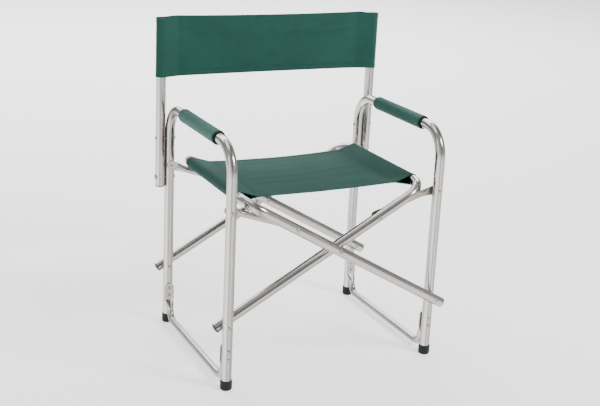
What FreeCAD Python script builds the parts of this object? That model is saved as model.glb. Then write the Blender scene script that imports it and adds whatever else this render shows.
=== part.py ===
import FreeCAD, Part
import math
import os
import re
import Sketcher
from FreeCAD import Placement, Rotation, Vector

# Folding camp chair: two bent-tube sides, two crossed seat frames, links, back posts and fabric.
# Millimetres. X runs across the chair (left is -X), Y from front to rear, Z up from the floor.

doc = FreeCAD.newDocument("camp_chair")
sizes = doc.addObject("Spreadsheet::Sheet", "Sizes")
rows = {"next": 1}
names = set()


def write_row(alias, text, note):
    row = rows["next"]
    sizes.set("A%d" % row, alias)
    sizes.set("B%d" % row, text)
    sizes.set("C%d" % row, note)
    sizes.setAlias("B%d" % row, alias)
    names.add(alias)
    rows["next"] = row + 1


def dim(alias, value, note=""):
    write_row(alias, str(value), note)


def derived(alias, formula, note=""):
    write_row(alias, "=" + formula, note)


# Overall layout
dim("leg_spacing", 560, "between the leg axes of the two sides")
dim("leg_depth", 436, "between the front and rear leg axes of one side")
dim("arm_height", 591.5, "axis of the arm above the floor")
dim("arm_bend_radius", 70)
dim("tube_dia", 25, "side frames, seat frames and back posts")
dim("tube_wall", 1.4)
dim("layer_gap", 1, "between tubes that cross, filled by a washer")

# Feet
dim("cap_floor", 4, "thickness under the end of the leg")
dim("cap_height", 24)
dim("cap_wall", 2)
dim("cap_gap", 0.05)
dim("cap_chamfer", 2.5)

# Arm pads
dim("pad_front", 132, "forward of the middle of the side")
dim("pad_rear", 112, "behind the middle of the side")
dim("pad_outer_dia", 34)
dim("cover_thickness", 1.4)
dim("pad_core_gap", 0.05)
dim("cover_gap", 0.05)
dim("cover_setback", 5, "length of foam that shows at each end")

# Crossed seat frames
dim("pivot_height", 160, "pivot low on the legs")
dim("rail_reach", 240, "seat rail axis from the middle of the chair")
dim("rail_height", 455, "seat rail axis")
dim("rail_bend_radius", 52)
dim("frame_overhang", 24, "tube below the low pivot")
dim("plug_flange", 1.2)
dim("plug_dome", 3.2)
dim("plug_stem", 12)
dim("plug_gap", 0.1)
dim("folded_angle", 81, "angle of the seat frames when the chair is shut")

# Links
dim("link_reach", 133.4, "from the middle pivot to the link along the seat frame")
dim("link_dia", 16)
dim("link_wall", 1.2)
dim("link_clearance", 0.3, "between a link and the leg beside it")
dim("link_paddle_width", 22)
dim("link_paddle_length", 16, "straight part of the flat end before the rivet")
dim("link_taper", 18, "from flat end to round tube")

# Low braces
dim("brace_dia", 18)
dim("brace_wall", 1.2)
dim("brace_height", 17, "axis of the bottom run above the floor")
dim("brace_bend_radius", 30)
dim("brace_round_top", 50, "height where the round tube ends")
dim("brace_taper", 18)
dim("brace_flat_length", 45)
dim("brace_flat_width", 24)
dim("brace_clearance", 0.2, "between the brace and the leg beside it")
dim("brace_rivet_upper", 100)
dim("brace_rivet_lower", 80)
dim("flat_thickness", 3, "flattened tube ends")
dim("flat_inset", 0.4, "the taper ends this much smaller than the flat")

# Back posts
dim("post_clearance", 0.4, "between a post and the rear leg beside it")
dim("post_bottom", 384)
dim("post_top_inset", 7, "end of the tube below the top edge of the back")
dim("post_rivet_upper", 509)
dim("post_rivet_lower", 406)
dim("post_plug_flange", 3)

# Rivets and washers
dim("rivet_dia", 6)
dim("rivet_hole_gap", 0.05)
dim("rivet_head_dia", 11)
dim("rivet_head_height", 2.6)
dim("post_rivet_head_dia", 15, "wider head at the foot of a back post")
dim("rivet_tail_dia", 9)
dim("rivet_tail_height", 1.5)
dim("rivet_bore_dia", 4)
dim("rivet_bore_depth", 6)
dim("rivet_seat_gap", 0.05, "under heads and tails")
dim("washer_dia", 18)
dim("washer_gap", 0.05, "each side of a washer")

# Fabric
dim("fabric_thickness", 1.6)
dim("fabric_gap", 0.3, "between a sleeve and the tube inside it")
dim("fabric_split", 0.4, "between the two halves of a sheet")
dim("seam_width", 8, "stitched strip where the sleeve closes")
dim("seat_length", 324, "seat sheet from front to rear")
dim("seat_offset", 1, "middle of the seat sleeve from the middle of the rail, rearward")
dim("seat_seam", 52, "rail axis to the seam")
dim("seat_seam_drop", 2)
dim("seat_middle_drop", 4.5)
dim("back_rise", 77.5, "bottom edge of the back above the arm axis")
dim("back_height", 150)
dim("back_seam", 48, "post axis to the seam")

# Values that follow from the sizes above
derived("tube_radius", "tube_dia / 2")
derived("layer_offset", "(tube_dia + layer_gap) / 2", "each side of the middle of the chair")
derived("half_spacing", "leg_spacing / 2")
derived("half_depth", "leg_depth / 2")
derived("leg_rise", "rail_height - pivot_height")
derived("leg_run", "half_spacing + rail_reach")
derived("open_angle", "atan(leg_rise / leg_run)")
derived("back_bottom", "arm_height + back_rise")
derived("post_top", "back_bottom + back_height - post_top_inset")
derived("frame_reach", "sqrt(leg_rise ^ 2 + leg_run ^ 2)", "low pivot to rail axis")
derived("lower_arm", "half_spacing / cos(open_angle)", "low pivot to middle pivot")
derived("link_along", "lower_arm + link_reach", "low pivot to link pivot")
derived("middle_height", "pivot_height + half_spacing * leg_rise / leg_run")
derived("angle_sum", "sin(folded_angle) + sin(open_angle)")
derived("link_leg_height", "pivot_height + 2 * lower_arm * link_reach * angle_sum / link_along")
derived("link_end_x", "link_along * cos(open_angle) - half_spacing")
derived("link_end_z", "pivot_height + link_along * sin(open_angle)")
derived("link_dx", "half_spacing - link_end_x")
derived("link_dz", "link_leg_height - link_end_z")
derived("link_length", "sqrt(link_dx ^ 2 + link_dz ^ 2)")
derived("link_tilt", "atan(link_dx / link_dz)", "from upright")
derived("post_offset", "tube_dia + post_clearance")
derived("post_x", "half_spacing + post_offset")
derived("hole_dia", "rivet_dia + 2 * rivet_hole_gap")
derived("cap_dia", "tube_dia + 2 * (cap_gap + cap_wall)")
derived("brace_depth", "leg_depth - tube_dia - 2 * brace_clearance - brace_dia")
derived("brace_flat_y", "half_depth - tube_radius - brace_clearance - flat_thickness")
derived("link_flat_y", "half_depth - tube_radius - link_clearance - flat_thickness")
derived("link_axis_y", "half_depth - tube_radius - link_clearance - link_dia / 2")
derived("seat_slant", "atan(2 * layer_offset / (2 * rail_reach))")
derived("back_slant", "atan(2 * layer_offset / (2 * post_x))")
derived("folded_post_x", "lower_arm * cos(folded_angle) + post_offset")
derived("back_width", "sqrt((2 * post_x) ^ 2 + (2 * layer_offset) ^ 2)", "post axis to post axis")
derived("fold_span", "back_width ^ 2 - 4 * folded_post_x ^ 2 - 4 * layer_offset ^ 2")
derived("fold_reach", "sqrt(fold_span / (4 - 16 * layer_offset ^ 2 / back_width ^ 2))")
derived("back_shift", "2 * fold_reach * layer_offset / back_width", "so the two back halves meet when folded")
derived("sleeve_inner", "tube_radius + fabric_gap")
derived("sleeve_outer", "sleeve_inner + fabric_thickness")
doc.recompute()


def full(text):
    """Write an expression with every size name pointing at the sheet."""
    return re.sub(r"[A-Za-z_]\w*", lambda m: "Sizes." + m.group(0) if m.group(0) in names else m.group(0), text)


def value(text):
    result = sizes.evalExpression(full(text))
    return float(getattr(result, "Value", result))


def bind(target, prop, text):
    target.setExpression(prop, full(text))


parts = {}
SIDES = (("left", -1), ("right", 1))
seam_turn = 45  # degrees, keeps the seam line of a tube clear of its rivet holes

# Sketch helpers: every vertex and centre is placed by the sheet

def plane_of(body, role):
    return [f for f in body.Origin.OriginFeatures if f.Role == role][0]


def new_sketch(body, name, role, offset=None, turn=0):
    sketch = body.newObject("Sketcher::SketchObject", name)
    sketch.AttachmentSupport = (plane_of(body, role), [""])
    sketch.MapMode = "FlatFace"
    if offset:
        spot = [value(part) for part in offset]
        sketch.AttachmentOffset = Placement(Vector(*spot), Rotation(Vector(0, 0, 1), turn))
        for axis, part in zip("xyz", offset):
            bind(sketch, "AttachmentOffset.Base." + axis, part)
    return sketch


def pin(sketch, geo, pos, point):
    """Hold one sketch point at two expressions measured from the sketch origin."""
    for kind, along, text in (("DistanceX", -2, point[0]), ("DistanceY", -1, point[1])):
        size = value(text)
        if abs(size) < 1e-9:
            sketch.addConstraint(Sketcher.Constraint("PointOnObject", geo, pos, along))
            continue
        ends = (-1, 1, geo, pos) if size > 0 else (geo, pos, -1, 1)
        index = sketch.addConstraint(Sketcher.Constraint(kind, *ends, abs(size)))
        sketch.setExpression("Constraints[%d]" % index, full(text if size > 0 else "-(%s)" % text))


H_LINE = -1
V_LINE = -2


def bow(radius, axis, side=1, wide=False):
    """An arc whose centre lies on a sketch axis; side 1 bulges to the right of the travel."""
    return radius, axis, side, wide


def arc_between(start, end, radius, side, wide):
    """Counter-clockwise arc whose ends are start and end, in that order when side is 1."""
    chord = end - start
    left = Vector(-chord.y, chord.x, 0)
    left.normalize()
    reach = math.sqrt(max(radius * radius - chord.Length ** 2 / 4, 0.0))
    centre = (start + end) * 0.5 + left * (side * (-reach if wide else reach))
    first, last = (start, end) if side > 0 else (end, start)
    begin = math.atan2(first.y - centre.y, first.x - centre.x)
    finish = math.atan2(last.y - centre.y, last.x - centre.x)
    if finish < begin:
        finish += 2 * math.pi
    return Part.ArcOfCircle(Part.Circle(centre, Vector(0, 0, 1), radius), begin, finish)


def outline(sketch, points, arcs=None, closed=True):
    """Lines through the points; arcs maps a segment number to its bow."""
    arcs = arcs or {}
    spots = [Vector(value(p[0]), value(p[1]), 0) for p in points]
    count = len(points) if closed else len(points) - 1
    segments = []
    for n in range(count):
        start = spots[n]
        end = spots[(n + 1) % len(spots)]
        if n in arcs:
            radius, axis, side, wide = arcs[n]
            geo = sketch.addGeometry(arc_between(start, end, value(radius), side, wide), False)
            segments.append((geo, 1, 2) if side > 0 else (geo, 2, 1))
            sketch.addConstraint(Sketcher.Constraint("PointOnObject", geo, 3, axis))
        else:
            geo = sketch.addGeometry(Part.LineSegment(start, end), False)
            segments.append((geo, 1, 2))
    for n in range(count):
        if n + 1 < count or closed:
            after = segments[(n + 1) % count]
            here = segments[n]
            sketch.addConstraint(Sketcher.Constraint("Coincident", here[0], here[2], after[0], after[1]))
    for n in range(count):
        pin(sketch, segments[n][0], segments[n][1], points[n])
    if not closed:
        pin(sketch, segments[-1][0], segments[-1][2], points[-1])
    return sketch


def circles(sketch, spots):
    for x_text, y_text, dia_text in spots:
        ring = Part.Circle(Vector(value(x_text), value(y_text), 0), Vector(0, 0, 1), value(dia_text) / 2)
        geo = sketch.addGeometry(ring, False)
        pin(sketch, geo, 3, (x_text, y_text))
        index = sketch.addConstraint(Sketcher.Constraint("Diameter", geo, value(dia_text)))
        sketch.setExpression("Constraints[%d]" % index, full(dia_text))
    return sketch


def oval(sketch, width, thickness):
    """An ellipse on the sketch origin, its long axis along the sketch's X."""
    shape = Part.Ellipse(Vector(0, 0, 0), value(width) / 2, value(thickness) / 2)
    geo = sketch.addGeometry(shape, False)
    sketch.exposeInternalGeometry(geo)
    sketch.addConstraint(Sketcher.Constraint("Coincident", geo, 3, -1, 1))
    sketch.addConstraint(Sketcher.Constraint("PointOnObject", geo + 1, 2, -1))
    for line, text in ((geo + 1, width), (geo + 2, thickness)):
        index = sketch.addConstraint(Sketcher.Constraint("Distance", line, value(text)))
        bind(sketch, "Constraints[%d]" % index, text)
    return sketch


def new_body(label, base=("0", "0", "0"), axis=Vector(0, 0, 1), angle=None, loose=False):
    body = doc.addObject("PartDesign::Body", label)
    body.Label = label
    if loose:
        body.AllowCompound = True
    turn = Rotation(axis, value(angle)) if angle else Rotation()
    body.Placement = Placement(Vector(*[value(part) for part in base]), turn)
    for letter, part in zip("xyz", base):
        bind(body, "Placement.Base." + letter, part)
    if angle:
        bind(body, "Placement.Rotation.Angle", angle)
    parts[label] = body
    return body


def lathe(body, name, role, axis, points, arcs=None, offset=None):
    sketch = outline(new_sketch(body, name + "_outline", role, offset), points, arcs)
    turn = body.newObject("PartDesign::Revolution", name)
    turn.Profile = sketch
    turn.ReferenceAxis = (sketch, [axis])
    turn.Angle = 360
    return turn


def drill(body, name, role, spots, offset=None):
    sketch = circles(new_sketch(body, name + "_centres", role, offset), spots)
    cut = body.newObject("PartDesign::Pocket", name)
    cut.Profile = sketch
    cut.Type = "ThroughAll"
    cut.Midplane = True
    return cut


def mirror(body, name, role, originals):
    copy = body.newObject("PartDesign::Mirrored", name)
    copy.Originals = originals
    copy.MirrorPlane = (plane_of(body, role), [""])
    body.Tip = copy
    return copy


def pad(body, name, sketch, length, middle=False):
    block = body.newObject("PartDesign::Pad", name)
    block.Profile = sketch
    block.Midplane = middle
    bind(block, "Length", length)
    return block


def bent_tube(body, name, half, low, high, bend, dia, wall, turn=0):
    """A tube bent into an upside-down U: up one leg, across the top and down the other."""
    left = "-(%s)" % half
    shoulder = "%s - %s" % (high, bend)
    rings = [("0", "0", dia), ("0", "0", "%s - 2 * %s" % (dia, wall))]
    leg_section = circles(new_sketch(body, name + "_leg_section", "XY_Plane", ("0", left, low), turn), rings)
    leg = pad(body, name + "_leg", leg_section, "%s - (%s)" % (shoulder, low))
    section = circles(new_sketch(body, name + "_bend_section", "XY_Plane", ("0", left, shoulder)), rings)
    middle = section.addGeometry(Part.LineSegment(Vector(-5, value(bend), 0), Vector(5, value(bend), 0)), True)
    pin(section, middle, 1, ("-5", bend))
    pin(section, middle, 2, ("5", bend))
    elbow = body.newObject("PartDesign::Revolution", name + "_bend")
    elbow.Profile = section
    elbow.ReferenceAxis = (section, ["Axis0"])
    elbow.Angle = 90
    elbow.Reversed = True
    mirror(body, name + "_other_leg", "XZ_Plane", [leg, elbow])
    top_section = circles(new_sketch(body, name + "_top_section", "XZ_Plane", ("0", high, "0")), rings)
    return pad(body, name + "_top", top_section, "2 * (%s) - 2 * %s" % (half, bend), True)


def signed(sign, text):
    return text if sign > 0 else "-(%s)" % text


# Rivets lie along Y with the head at the start of the grip

def rivet_outline(grip, tail=True, head=True, head_dia="rivet_head_dia"):
    """Half section along the rivet: dome, shank, then the rolled tail with its bore."""
    points = []
    arcs = {}
    head_face = "-rivet_seat_gap"
    tail_face = "%s + rivet_seat_gap" % grip
    if head:
        points += [("-rivet_seat_gap - rivet_head_height", "0"), (head_face, "%s / 2" % head_dia)]
        radius = "(%s ^ 2 / 4 + rivet_head_height ^ 2) / (2 * rivet_head_height)" % head_dia
        arcs[0] = bow(radius, H_LINE, -1)
        points += [(head_face, "rivet_dia / 2")]
    else:
        points += [("0", "0"), ("0", "rivet_dia / 2")]
    if tail:
        far = "%s + rivet_tail_height" % tail_face
        floor_at = "%s - rivet_bore_depth" % far if head else "%s - rivet_tail_height" % far
        points += [(tail_face, "rivet_dia / 2"), (tail_face, "rivet_tail_dia / 2")]
        points += [(far, "rivet_tail_dia / 2 - 0.5"), (far, "rivet_bore_dia / 2")]
        points += [(floor_at, "rivet_bore_dia / 2"), (floor_at, "0")]
    else:
        points += [(grip, "rivet_dia / 2"), (grip, "0")]
    return points, arcs


def rivet_pair(label, base, start, grip, height, axis=Vector(0, 0, 1), angle=None, tail=True, more=()):
    """Rivets through the front tube and, mirrored, through the rear one."""
    body = new_body(label, base, axis, angle, loose=True)
    made = []
    points, arcs = rivet_outline(grip, tail)
    for n, level in enumerate((height,) + tuple(more)):
        name = "%s_front%d" % (label, n)
        made.append(lathe(body, name, "YZ_Plane", "H_Axis", points, arcs, (start, level, "0")))
    mirror(body, label + "_rear", "XZ_Plane", made)
    return body


# Side frames with everything riveted to them

for side, sign in SIDES:
    origin = (signed(sign, "half_spacing"), signed(sign, "layer_offset"), "0")

    frame = new_body("side_frame_" + side, origin)
    bent_tube(frame, "side_tube_" + side, "half_depth", "cap_floor", "arm_height", "arm_bend_radius",
              "tube_dia", "tube_wall", seam_turn)
    heights = ("brace_rivet_lower", "brace_rivet_upper", "pivot_height", "link_leg_height")
    drill(frame, "leg_holes_" + side, "XZ_Plane", [("0", level, "hole_dia") for level in heights])
    cross_holes = new_sketch(frame, "post_hole_centres_" + side, "YZ_Plane")
    circles(cross_holes, [("half_depth", level, "hole_dia") for level in ("post_rivet_lower", "post_rivet_upper")])
    cut = frame.newObject("PartDesign::Pocket", "post_holes_" + side)
    cut.Profile = cross_holes
    cut.Type = "ThroughAll"
    cut.Midplane = True

    # Foam on the arm, then its cover
    foam = new_body("arm_pad_core_" + side, origin)
    inner = "tube_radius + pad_core_gap"
    outer = "pad_outer_dia / 2 - cover_thickness - cover_gap"
    ring = [("-pad_front", inner), ("pad_rear", inner), ("pad_rear", outer + " - 1")]
    ring += [("pad_rear - 1", outer), ("1 - pad_front", outer), ("-pad_front", outer + " - 1")]
    lathe(foam, "foam_" + side, "YZ_Plane", "H_Axis", ring, None, ("0", "arm_height", "0"))
    cover = new_body("arm_pad_cover_" + side, origin)
    inner = "pad_outer_dia / 2 - cover_thickness"
    front = "cover_setback - pad_front"
    rear = "pad_rear - cover_setback"
    ring = [(front, inner), (rear, inner), (rear, "pad_outer_dia / 2 - 0.5"), (rear + " - 0.5", "pad_outer_dia / 2")]
    ring += [(front + " + 0.5", "pad_outer_dia / 2"), (front, "pad_outer_dia / 2 - 0.5")]
    lathe(cover, "cover_" + side, "YZ_Plane", "H_Axis", ring, None, ("0", "arm_height", "0"))

    # Feet
    for end, along in (("front", -1), ("rear", 1)):
        spot = (origin[0], "%s + %s" % (origin[1], signed(along, "half_depth")), "0")
        cap = new_body("foot_cap_%s_%s" % (end, side), spot)
        wall_in = "tube_radius + cap_gap"
        points = [("0", "0"), ("cap_dia / 2 - cap_chamfer", "0"), ("cap_dia / 2", "cap_chamfer")]
        points += [("cap_dia / 2", "cap_height - 0.8"), ("cap_dia / 2 - 0.8", "cap_height"), (wall_in, "cap_height")]
        points += [(wall_in, "cap_floor"), ("0", "cap_floor")]
        lathe(cap, "cap_%s_%s" % (end, side), "XZ_Plane", "V_Axis", points)

    # Low brace: a small U with its ends pressed flat against the legs
    base = (origin[0], origin[1], "brace_round_top")
    brace = new_body("lower_brace_" + side, base, Vector(0, 1, 0), "180 deg")
    bent_tube(brace, "brace_tube_" + side, "brace_depth / 2", "0", "brace_round_top - brace_height",
              "brace_bend_radius", "brace_dia", "brace_wall")
    flat_mid = "-(brace_flat_y + flat_thickness / 2)"
    round_end = new_sketch(brace, "brace_round_end_" + side, "XY_Plane", ("0", "-brace_depth / 2", "0"))
    circles(round_end, [("0", "0", "brace_dia")])
    flat_end = new_sketch(brace, "brace_flat_end_" + side, "XY_Plane", ("0", flat_mid, "-brace_taper"))
    oval(flat_end, "brace_flat_width - flat_inset", "flat_thickness - flat_inset")
    taper = brace.newObject("PartDesign::AdditiveLoft", "brace_taper_" + side)
    taper.Profile = round_end
    taper.Sections = [flat_end]
    blade = new_sketch(brace, "brace_blade_outline_" + side, "XZ_Plane", ("0", "0", "brace_flat_y"))
    half = "brace_flat_width / 2"
    low = "-brace_taper"
    high = "-brace_taper - brace_flat_length + brace_flat_width / 2"
    points = [("-(%s)" % half, low), ("-(%s)" % half, high), ("0", "%s - %s" % (high, half)), (half, high)]
    points += [(half, low)]
    outline(blade, points, {1: bow(half, V_LINE), 2: bow(half, V_LINE)})
    plate = brace.newObject("PartDesign::Pad", "brace_blade_" + side)
    plate.Profile = blade
    bind(plate, "Length", "flat_thickness")
    mirror(brace, "brace_rear_end_" + side, "XZ_Plane", [taper, plate])
    levels = ["brace_round_top - brace_rivet_%s" % which for which in ("lower", "upper")]
    drill(brace, "brace_holes_" + side, "XZ_Plane", [("0", level, "hole_dia") for level in levels])
    grip = "tube_dia + brace_clearance + flat_thickness"
    outer_face = "-half_depth - tube_radius"
    rivet_pair("brace_rivets_" + side, origin, outer_face, grip, "brace_rivet_lower", more=("brace_rivet_upper",))

    # Link rivets and the low pivots
    grip = "tube_dia + link_clearance + flat_thickness"
    rivet_pair("link_rivets_" + side, origin, outer_face, grip, "link_leg_height")
    pivot = (origin[0], "0", "0")
    pivot_face = "-half_depth - layer_offset - tube_radius"
    double_grip = "2 * tube_dia + layer_gap"
    rivet_pair("lower_pivot_rivets_" + side, pivot, pivot_face, double_grip, "pivot_height")
    washers = new_body("lower_pivot_washers_" + side, pivot, loose=True)
    half_gap = "layer_gap / 2 - washer_gap"
    ring = [("-(%s)" % half_gap, "hole_dia / 2"), (half_gap, "hole_dia / 2"), (half_gap, "washer_dia / 2")]
    ring += [("-(%s)" % half_gap, "washer_dia / 2")]
    front_washer = lathe(washers, "washer_front_" + side, "YZ_Plane", "H_Axis", ring, None,
                         ("-half_depth", "pivot_height", "0"))
    mirror(washers, "washer_rear_" + side, "XZ_Plane", [front_washer])

    # Back post outside the rear leg, its plugs and its rivets
    rear_y = "%s + half_depth" % origin[1]
    post_at = (signed(sign, "post_x"), rear_y, "0")
    post = new_body("back_post_" + side, post_at)
    ring = new_sketch(post, "post_section_" + side, "XY_Plane", ("0", "0", "post_bottom"), seam_turn)
    circles(ring, [("0", "0", "tube_dia"), ("0", "0", "tube_dia - 2 * tube_wall")])
    tube = post.newObject("PartDesign::Pad", "post_tube_" + side)
    tube.Profile = ring
    bind(tube, "Length", "post_top - post_bottom")
    levels = ("post_rivet_lower", "post_rivet_upper")
    drill(post, "post_holes_out_" + side, "YZ_Plane", [("0", level, "hole_dia") for level in levels])
    stem = "tube_radius - tube_wall - plug_gap"
    for end, at, up in (("top", "post_top", 1), ("bottom", "post_bottom", -1)):
        plug = new_body("post_%s_plug_%s" % (end, side), (post_at[0], post_at[1], at))
        points = [("0", signed(up, "post_plug_flange")), ("tube_radius - 1.5", signed(up, "post_plug_flange"))]
        points += [("tube_radius", signed(up, "post_plug_flange - 1.5")), ("tube_radius", "0"), (stem, "0")]
        points += [(stem, signed(up, "-plug_stem")), ("0", signed(up, "-plug_stem"))]
        lathe(plug, "%s_plug_%s" % (end, side), "XZ_Plane", "V_Axis", points)
    joint = new_body("post_rivets_" + side, (signed(sign, "post_x + tube_radius"), rear_y, "0"),
                     Vector(0, 0, 1), "180 deg" if sign > 0 else "0 deg", loose=True)
    for n, (level, head) in enumerate(zip(levels, ("post_rivet_head_dia", "rivet_head_dia"))):
        points, arcs = rivet_outline("2 * tube_dia + post_clearance", head_dia=head)
        lathe(joint, "post_rivet_%d_%s" % (n, side), "XZ_Plane", "H_Axis", points, arcs, ("0", level, "0"))


# Crossed seat frames: each has its rail on its own side and its low pivots on the other

for side, sign in SIDES:
    base = (signed(-sign, "half_spacing"), signed(sign, "layer_offset"), "pivot_height")
    lean = Vector(0, sign, 0)
    tilt = "90 deg - open_angle"
    frame = new_body("seat_frame_" + side, base, lean, tilt)
    bent_tube(frame, "seat_tube_" + side, "half_depth", "-frame_overhang", "frame_reach", "rail_bend_radius",
              "tube_dia", "tube_wall")
    along = ("0", "lower_arm", "link_along")
    drill(frame, "frame_holes_" + side, "XZ_Plane", [("0", level, "hole_dia") for level in along])

    plugs = new_body("seat_frame_plugs_" + side, base, lean, tilt, loose=True)
    stem = "tube_radius - tube_wall - plug_gap"
    lip = "-plug_flange"
    nose = "-plug_flange - plug_dome"
    points = [("0", nose), ("tube_radius", lip), ("tube_radius", "0"), (stem, "0"), (stem, "plug_stem")]
    points += [("0", "plug_stem")]
    dome = {0: bow("(tube_radius ^ 2 + plug_dome ^ 2) / (2 * plug_dome)", V_LINE)}
    near = lathe(plugs, "plug_front_" + side, "YZ_Plane", "V_Axis", points, dome,
                 ("-half_depth", "-frame_overhang", "0"))
    mirror(plugs, "plug_rear_" + side, "XZ_Plane", [near])

    rivet_pair("frame_link_rivets_" + side, base, "-half_depth - tube_radius", "tube_dia - rivet_seat_gap", "link_along",
               lean, tilt, tail=False)

# Middle pivots

double_grip = "2 * tube_dia + layer_gap"
rivet_pair("center_pivot_rivets", ("0", "0", "0"), "-half_depth - layer_offset - tube_radius", double_grip,
           "middle_height")
washers = new_body("center_pivot_washers", ("0", "0", "0"), loose=True)
half_gap = "layer_gap / 2 - washer_gap"
ring = [("-(%s)" % half_gap, "hole_dia / 2"), (half_gap, "hole_dia / 2"), (half_gap, "washer_dia / 2")]
ring += [("-(%s)" % half_gap, "washer_dia / 2")]
front_washer = lathe(washers, "middle_washer_front", "YZ_Plane", "H_Axis", ring, None,
                     ("-half_depth", "middle_height", "0"))
mirror(washers, "middle_washer_rear", "XZ_Plane", [front_washer])


# Links: short tubes pressed flat at both ends, one beside each leg

for side, sign in SIDES:
    for end, toward in (("front", -1), ("rear", 1)):
        label = "link_%s_%s" % (end, side)
        base = (signed(sign, "(half_spacing + link_end_x) / 2"), signed(sign, "layer_offset"),
                "(link_leg_height + link_end_z) / 2")
        link = new_body(label, base, Vector(0, sign, 0), "link_tilt")
        ring = new_sketch(link, label + "_section", "XY_Plane",
                          ("0", signed(toward, "link_axis_y"), "-link_length / 2 + link_paddle_length + link_taper"))
        circles(ring, [("0", "0", "link_dia"), ("0", "0", "link_dia - 2 * link_wall")])
        tube = link.newObject("PartDesign::Pad", label + "_tube")
        tube.Profile = ring
        bind(tube, "Length", "link_length - 2 * (link_paddle_length + link_taper)")
        flat_mid = signed(toward, "link_flat_y + flat_thickness / 2")
        taper_base = "link_length / 2 - link_paddle_length - link_taper"
        round_end = new_sketch(link, label + "_round_end", "XY_Plane",
                               ("0", signed(toward, "link_axis_y"), taper_base))
        circles(round_end, [("0", "0", "link_dia")])
        flat_end = new_sketch(link, label + "_flat_end", "XY_Plane",
                              ("0", flat_mid, "link_length / 2 - link_paddle_length"))
        oval(flat_end, "link_paddle_width - flat_inset", "flat_thickness - flat_inset")
        taper = link.newObject("PartDesign::AdditiveLoft", label + "_taper")
        taper.Profile = round_end
        taper.Sections = [flat_end]
        # The sketch normal points to -Y, so a rear blade is drawn behind the plane
        face_at = "link_flat_y" if toward < 0 else "-(link_flat_y + flat_thickness)"
        blade = new_sketch(link, label + "_blade_outline", "XZ_Plane", ("0", "0", face_at))
        half = "link_paddle_width / 2"
        low = "link_length / 2 - link_paddle_length"
        points = [(half, low), (half, "link_length / 2"), ("0", "link_length / 2 + %s" % half)]
        points += [("-(%s)" % half, "link_length / 2"), ("-(%s)" % half, low)]
        outline(blade, points, {1: bow(half, V_LINE), 2: bow(half, V_LINE)})
        plate = link.newObject("PartDesign::Pad", label + "_blade")
        plate.Profile = blade
        bind(plate, "Length", "flat_thickness")
        mirror(link, label + "_other_end", "XY_Plane", [taper, plate])
        drill(link, label + "_holes", "XZ_Plane", [("0", "link_length / 2", "hole_dia"),
                                                  ("0", "-link_length / 2", "hole_dia")])

    label = "link_end_rivets_" + side
    body = new_body(label, base, Vector(0, sign, 0), "link_tilt", loose=True)
    points, arcs = rivet_outline("flat_thickness", tail=True, head=False)
    front_end = lathe(body, label + "_front", "YZ_Plane", "H_Axis", points, arcs,
                      ("-link_flat_y - flat_thickness", "-link_length / 2", "0"))
    mirror(body, label + "_rear", "XZ_Plane", [front_end])


# Fabric: each sheet in two halves, a sleeve that closes at a seam and a flat run to the middle

def sling_outline(sketch, run, seam, seam_drop, end_drop):
    """Section across a sleeve at the origin, with the sheet running out along the sketch's X."""
    half = "fabric_thickness / 2"
    turn = "sleeve_outer ^ 2 / (%s)" % seam
    turn_up = "sqrt(sleeve_outer ^ 2 - (%s) ^ 2)" % turn
    points = [(run, "%s - %s" % (half, end_drop)), (seam, "%s - %s" % (half, seam_drop))]
    points += [(turn, turn_up), (turn, "-(%s)" % turn_up)]
    points += [(seam, "-%s - %s" % (half, seam_drop)), (run, "-%s - %s" % (half, end_drop))]
    outline(sketch, points, {2: bow("sleeve_outer", V_LINE, 1, True)})
    closing = "%s - seam_width" % seam
    turn = "sleeve_inner ^ 2 / (%s)" % closing
    turn_up = "sqrt(sleeve_inner ^ 2 - (%s) ^ 2)" % turn
    points = [(closing, "-(%s)" % seam_drop), (turn, turn_up), (turn, "-(%s)" % turn_up)]
    outline(sketch, points, {1: bow("sleeve_inner", V_LINE, 1, True)})
    return sketch


for side, sign in SIDES:
    base = (signed(sign, "rail_reach"), "%s + seat_offset" % signed(sign, "layer_offset"), "rail_height")
    seat = new_body("seat_sling_" + side, base, Vector(0, 0, 1), "180 deg" if sign > 0 else "0 deg")
    section = new_sketch(seat, "seat_section_" + side, "XZ_Plane", ("0", "0", "0"))
    section.AttachmentOffset = Placement(Vector(), Rotation(Vector(0, 1, 0), value("seat_slant")))
    bind(section, "AttachmentOffset.Rotation.Angle", "seat_slant")
    sling_outline(section, "(rail_reach - fabric_split / 2) / cos(seat_slant)", "seat_seam", "seat_seam_drop",
                  "seat_middle_drop")
    sheet = seat.newObject("PartDesign::Pad", "seat_sheet_" + side)
    sheet.Profile = section
    sheet.Midplane = True
    sheet.UseCustomVector = True
    sheet.AlongSketchNormal = False
    sheet.Direction = Vector(0, 1, 0)
    bind(sheet, "Length", "seat_length")

for side, sign in SIDES:
    base = (signed(sign, "post_x"), "%s + half_depth" % signed(sign, "layer_offset"), "back_bottom")
    turned = "180 deg + back_slant" if sign > 0 else "back_slant"
    back = new_body("back_sling_" + side, base, Vector(0, 0, 1), turned)
    section = new_sketch(back, "back_section_" + side, "XY_Plane")
    run = "back_width / 2 - fabric_split / 2 - (%s)" % signed(sign, "back_shift")
    sling_outline(section, run, "back_seam", "0", "0")
    sheet = back.newObject("PartDesign::Pad", "back_sheet_" + side)
    sheet.Profile = section
    bind(sheet, "Length", "back_height")


doc.recompute()

# Nothing is written unless every feature and every piece is sound
faults = []
for thing in doc.Objects:
    if "Invalid" in thing.State or "Error" in thing.State:
        faults.append("%s %s" % (thing.Name, thing.State))
for label, body in parts.items():
    if body.Shape.isNull() or not body.Shape.isValid() or body.Shape.Volume < 1:
        faults.append(label + " has no sound shape")
if faults:
    raise RuntimeError("; ".join(faults))

os.makedirs("parts", exist_ok=True)
for label, body in parts.items():
    body.Shape.exportStep("parts/%s.step" % label)
print(len(parts), "pieces written")
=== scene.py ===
import math

import bpy
from mathutils import Matrix, Vector, noise


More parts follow.
